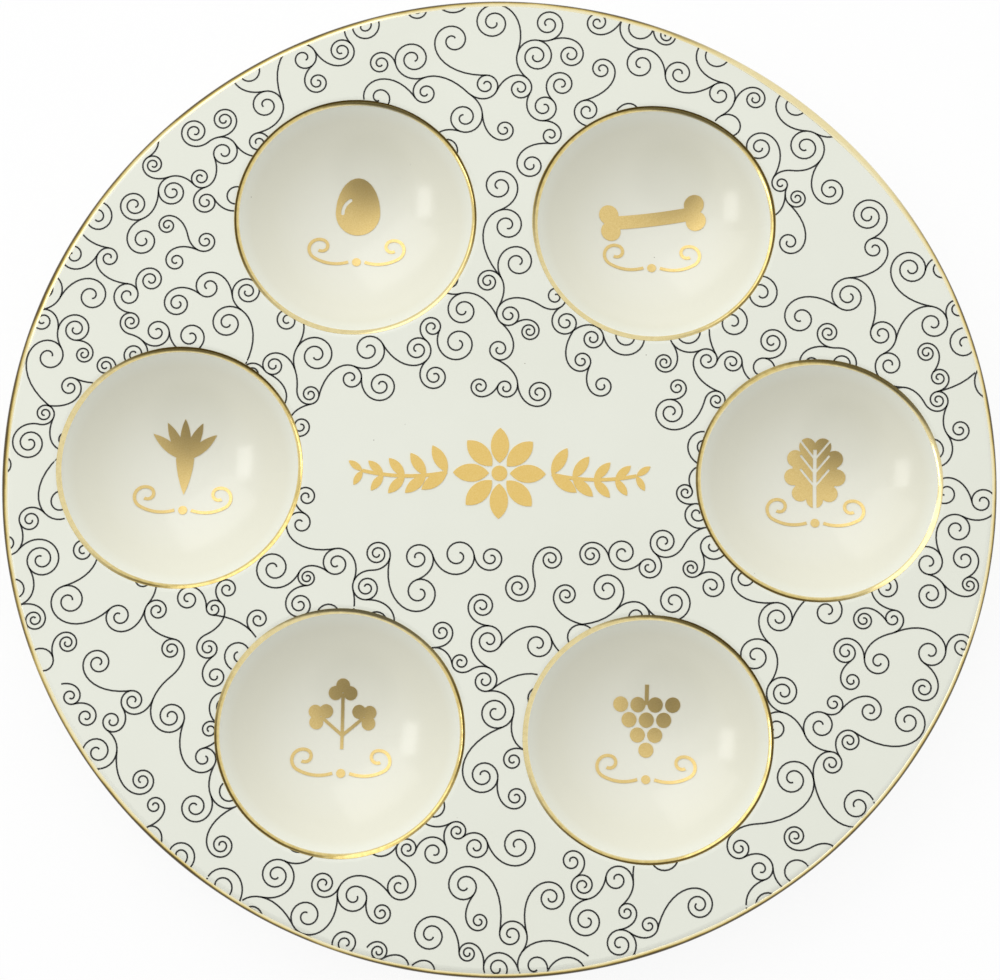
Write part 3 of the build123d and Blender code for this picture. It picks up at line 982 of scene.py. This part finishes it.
# %% [markdown]
# ## Lamps
# A window-shaped lamp at the left puts a soft highlight in each well, and a broad softbox behind it fills
# in. A lamp's power is spread over its face, so a larger lamp of the same power looks dimmer. It is
# easier to say how bright a lamp looks from the plate, and to work the power out from that.

# %% Lamps
WINDOW_DISTANCE = 1.6
WINDOW_TILT = math.radians(48)
WINDOW_BACK = 0.1
SOFTBOX_PLACE = Vector((-0.75, 0.95, 1.15))


def soft_lamp(name, place, width, height, radiance):
    """A rectangular lamp that faces the plate, as bright as this seen from it."""
    light = bpy.data.lights.new(name, "AREA")
    light.shape = "RECTANGLE"
    light.size = width
    light.size_y = height
    light.energy = radiance * math.pi * width * height
    lamp = bpy.data.objects.new(name, light)
    bpy.context.collection.objects.link(lamp)
    lamp.location = place
    lamp.rotation_euler = (-lamp.location).to_track_quat("-Z", "Y").to_euler()
    print(name, "gives", round(light.energy, 2), "watts")


window_left = WINDOW_DISTANCE * math.sin(WINDOW_TILT)
window_up = WINDOW_DISTANCE * math.cos(WINDOW_TILT)
soft_lamp("window", Vector((-window_left, WINDOW_BACK, window_up)), width=0.5, height=0.28, radiance=3.3)
soft_lamp("softbox", SOFTBOX_PLACE, width=1.4, height=1.0, radiance=1.0)

# %% [markdown]
# ## Camera
# The plate is seen almost from above: eleven degrees off the upright, from about six plate radii away,
# and turned a degree so that the row of wells slopes as it does in a snapshot. A long lens keeps the
# round rim from looking egg-shaped. The camera aims a little in front of the middle, which centres the
# plate in the frame.

# %% Camera
CAMERA_DISTANCE = 0.915
CAMERA_TILT = math.radians(11.12)
CAMERA_TURN = math.radians(1.25)
CAMERA_LENS = 107.6
SENSOR_WIDTH = 36
AIM_OFFSET = Vector((0.3 * MM, -5.2 * MM, 0))

plate_top = Vector((0, 0, top_height))
sideways = math.sin(CAMERA_TILT)
away = Vector((sideways * math.sin(CAMERA_TURN), -sideways * math.cos(CAMERA_TURN), math.cos(CAMERA_TILT)))
camera_data = bpy.data.cameras.new("camera")
camera_data.lens = CAMERA_LENS
camera_data.sensor_width = SENSOR_WIDTH
camera = bpy.data.objects.new("camera", camera_data)
bpy.context.collection.objects.link(camera)
camera.location = plate_top + away * CAMERA_DISTANCE
camera.rotation_euler = (plate_top + AIM_OFFSET - camera.location).to_track_quat("-Z", "Y").to_euler()
bpy.context.scene.camera = camera
bpy.context.scene.view_settings.view_transform = "Standard"
print("the camera is at", [round(value, 3) for value in camera.location])
